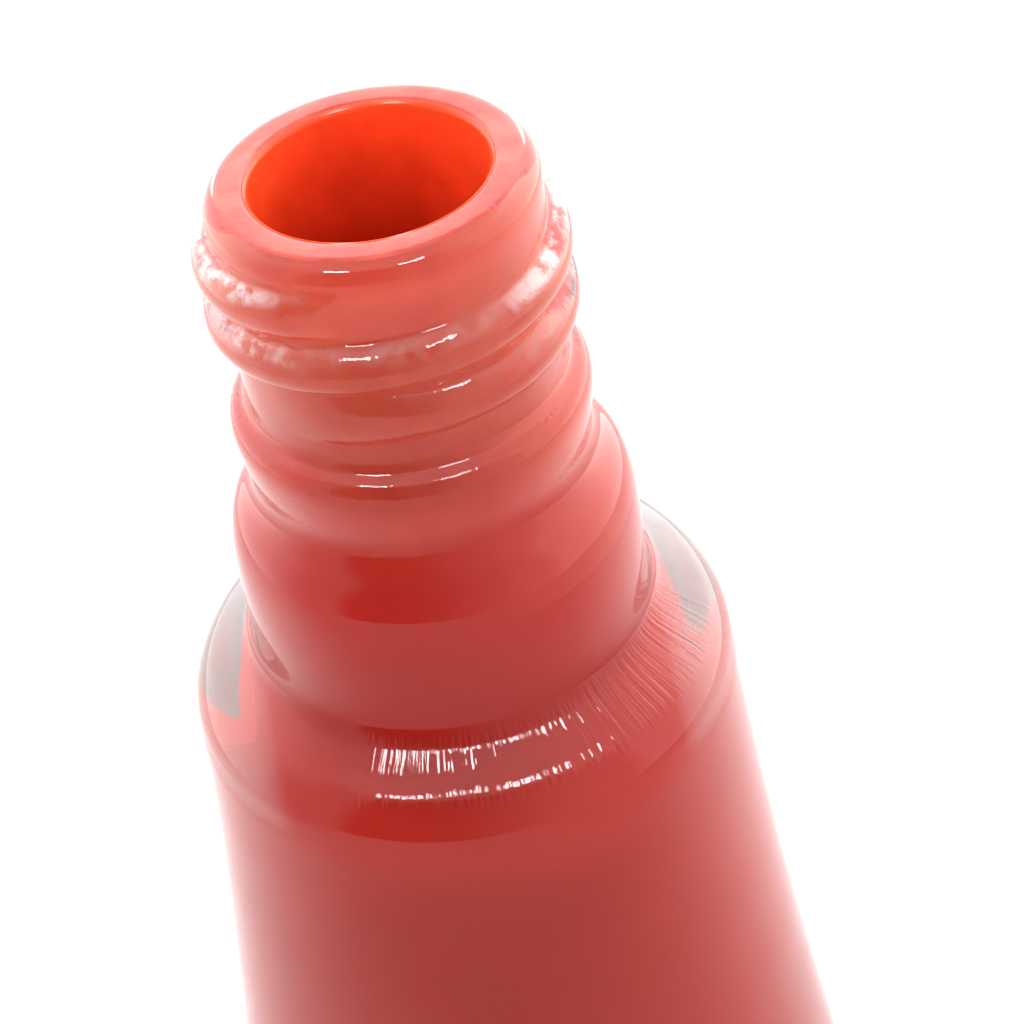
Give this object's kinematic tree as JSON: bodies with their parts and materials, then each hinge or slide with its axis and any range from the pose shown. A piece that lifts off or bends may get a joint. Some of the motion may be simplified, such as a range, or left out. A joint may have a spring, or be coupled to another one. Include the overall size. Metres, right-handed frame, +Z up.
{
  "type": "nail polish bottle",
  "caption": "Uncapped round glass nail polish bottle with a bell-flared body, stepped shoulder, screw neck and coral polish inside.",
  "frame": {"origin": "centre of the flat standing ring under the bottle", "axes": "+Z up along the bottle's axis towards the mouth; +X is the heading from which the thread's height is stated"},
  "size_m": [0.0296, 0.0296, 0.062],
  "materials": {
    "glass": "fire-polished clear soda-lime glass",
    "polish": "opaque wet coral-red nail lacquer",
    "polish_coat": "thin translucent wet coat of the same lacquer",
    "steel": "polished stainless steel"
  },
  "bodies": {
    "bottle": {"glass_bottle": "glass", "polish_fill": "polish", "neck_coat": "polish_coat"},
    "ball_1": {"mixing_ball_1": "steel"},
    "ball_2": {"mixing_ball_2": "steel"}
  },
  "joints": [
    {"name": "ball_1_rise", "type": "slide", "parent": "bottle", "child": "ball_1", "axis": [0, 0, 1], "range_m": [0, 0.038], "deforming": ["polish_fill"]},
    {"name": "ball_2_rise", "type": "slide", "parent": "bottle", "child": "ball_2", "axis": [0, 0, 1], "range_m": [0, 0.038], "deforming": ["polish_fill"]}
  ]
}
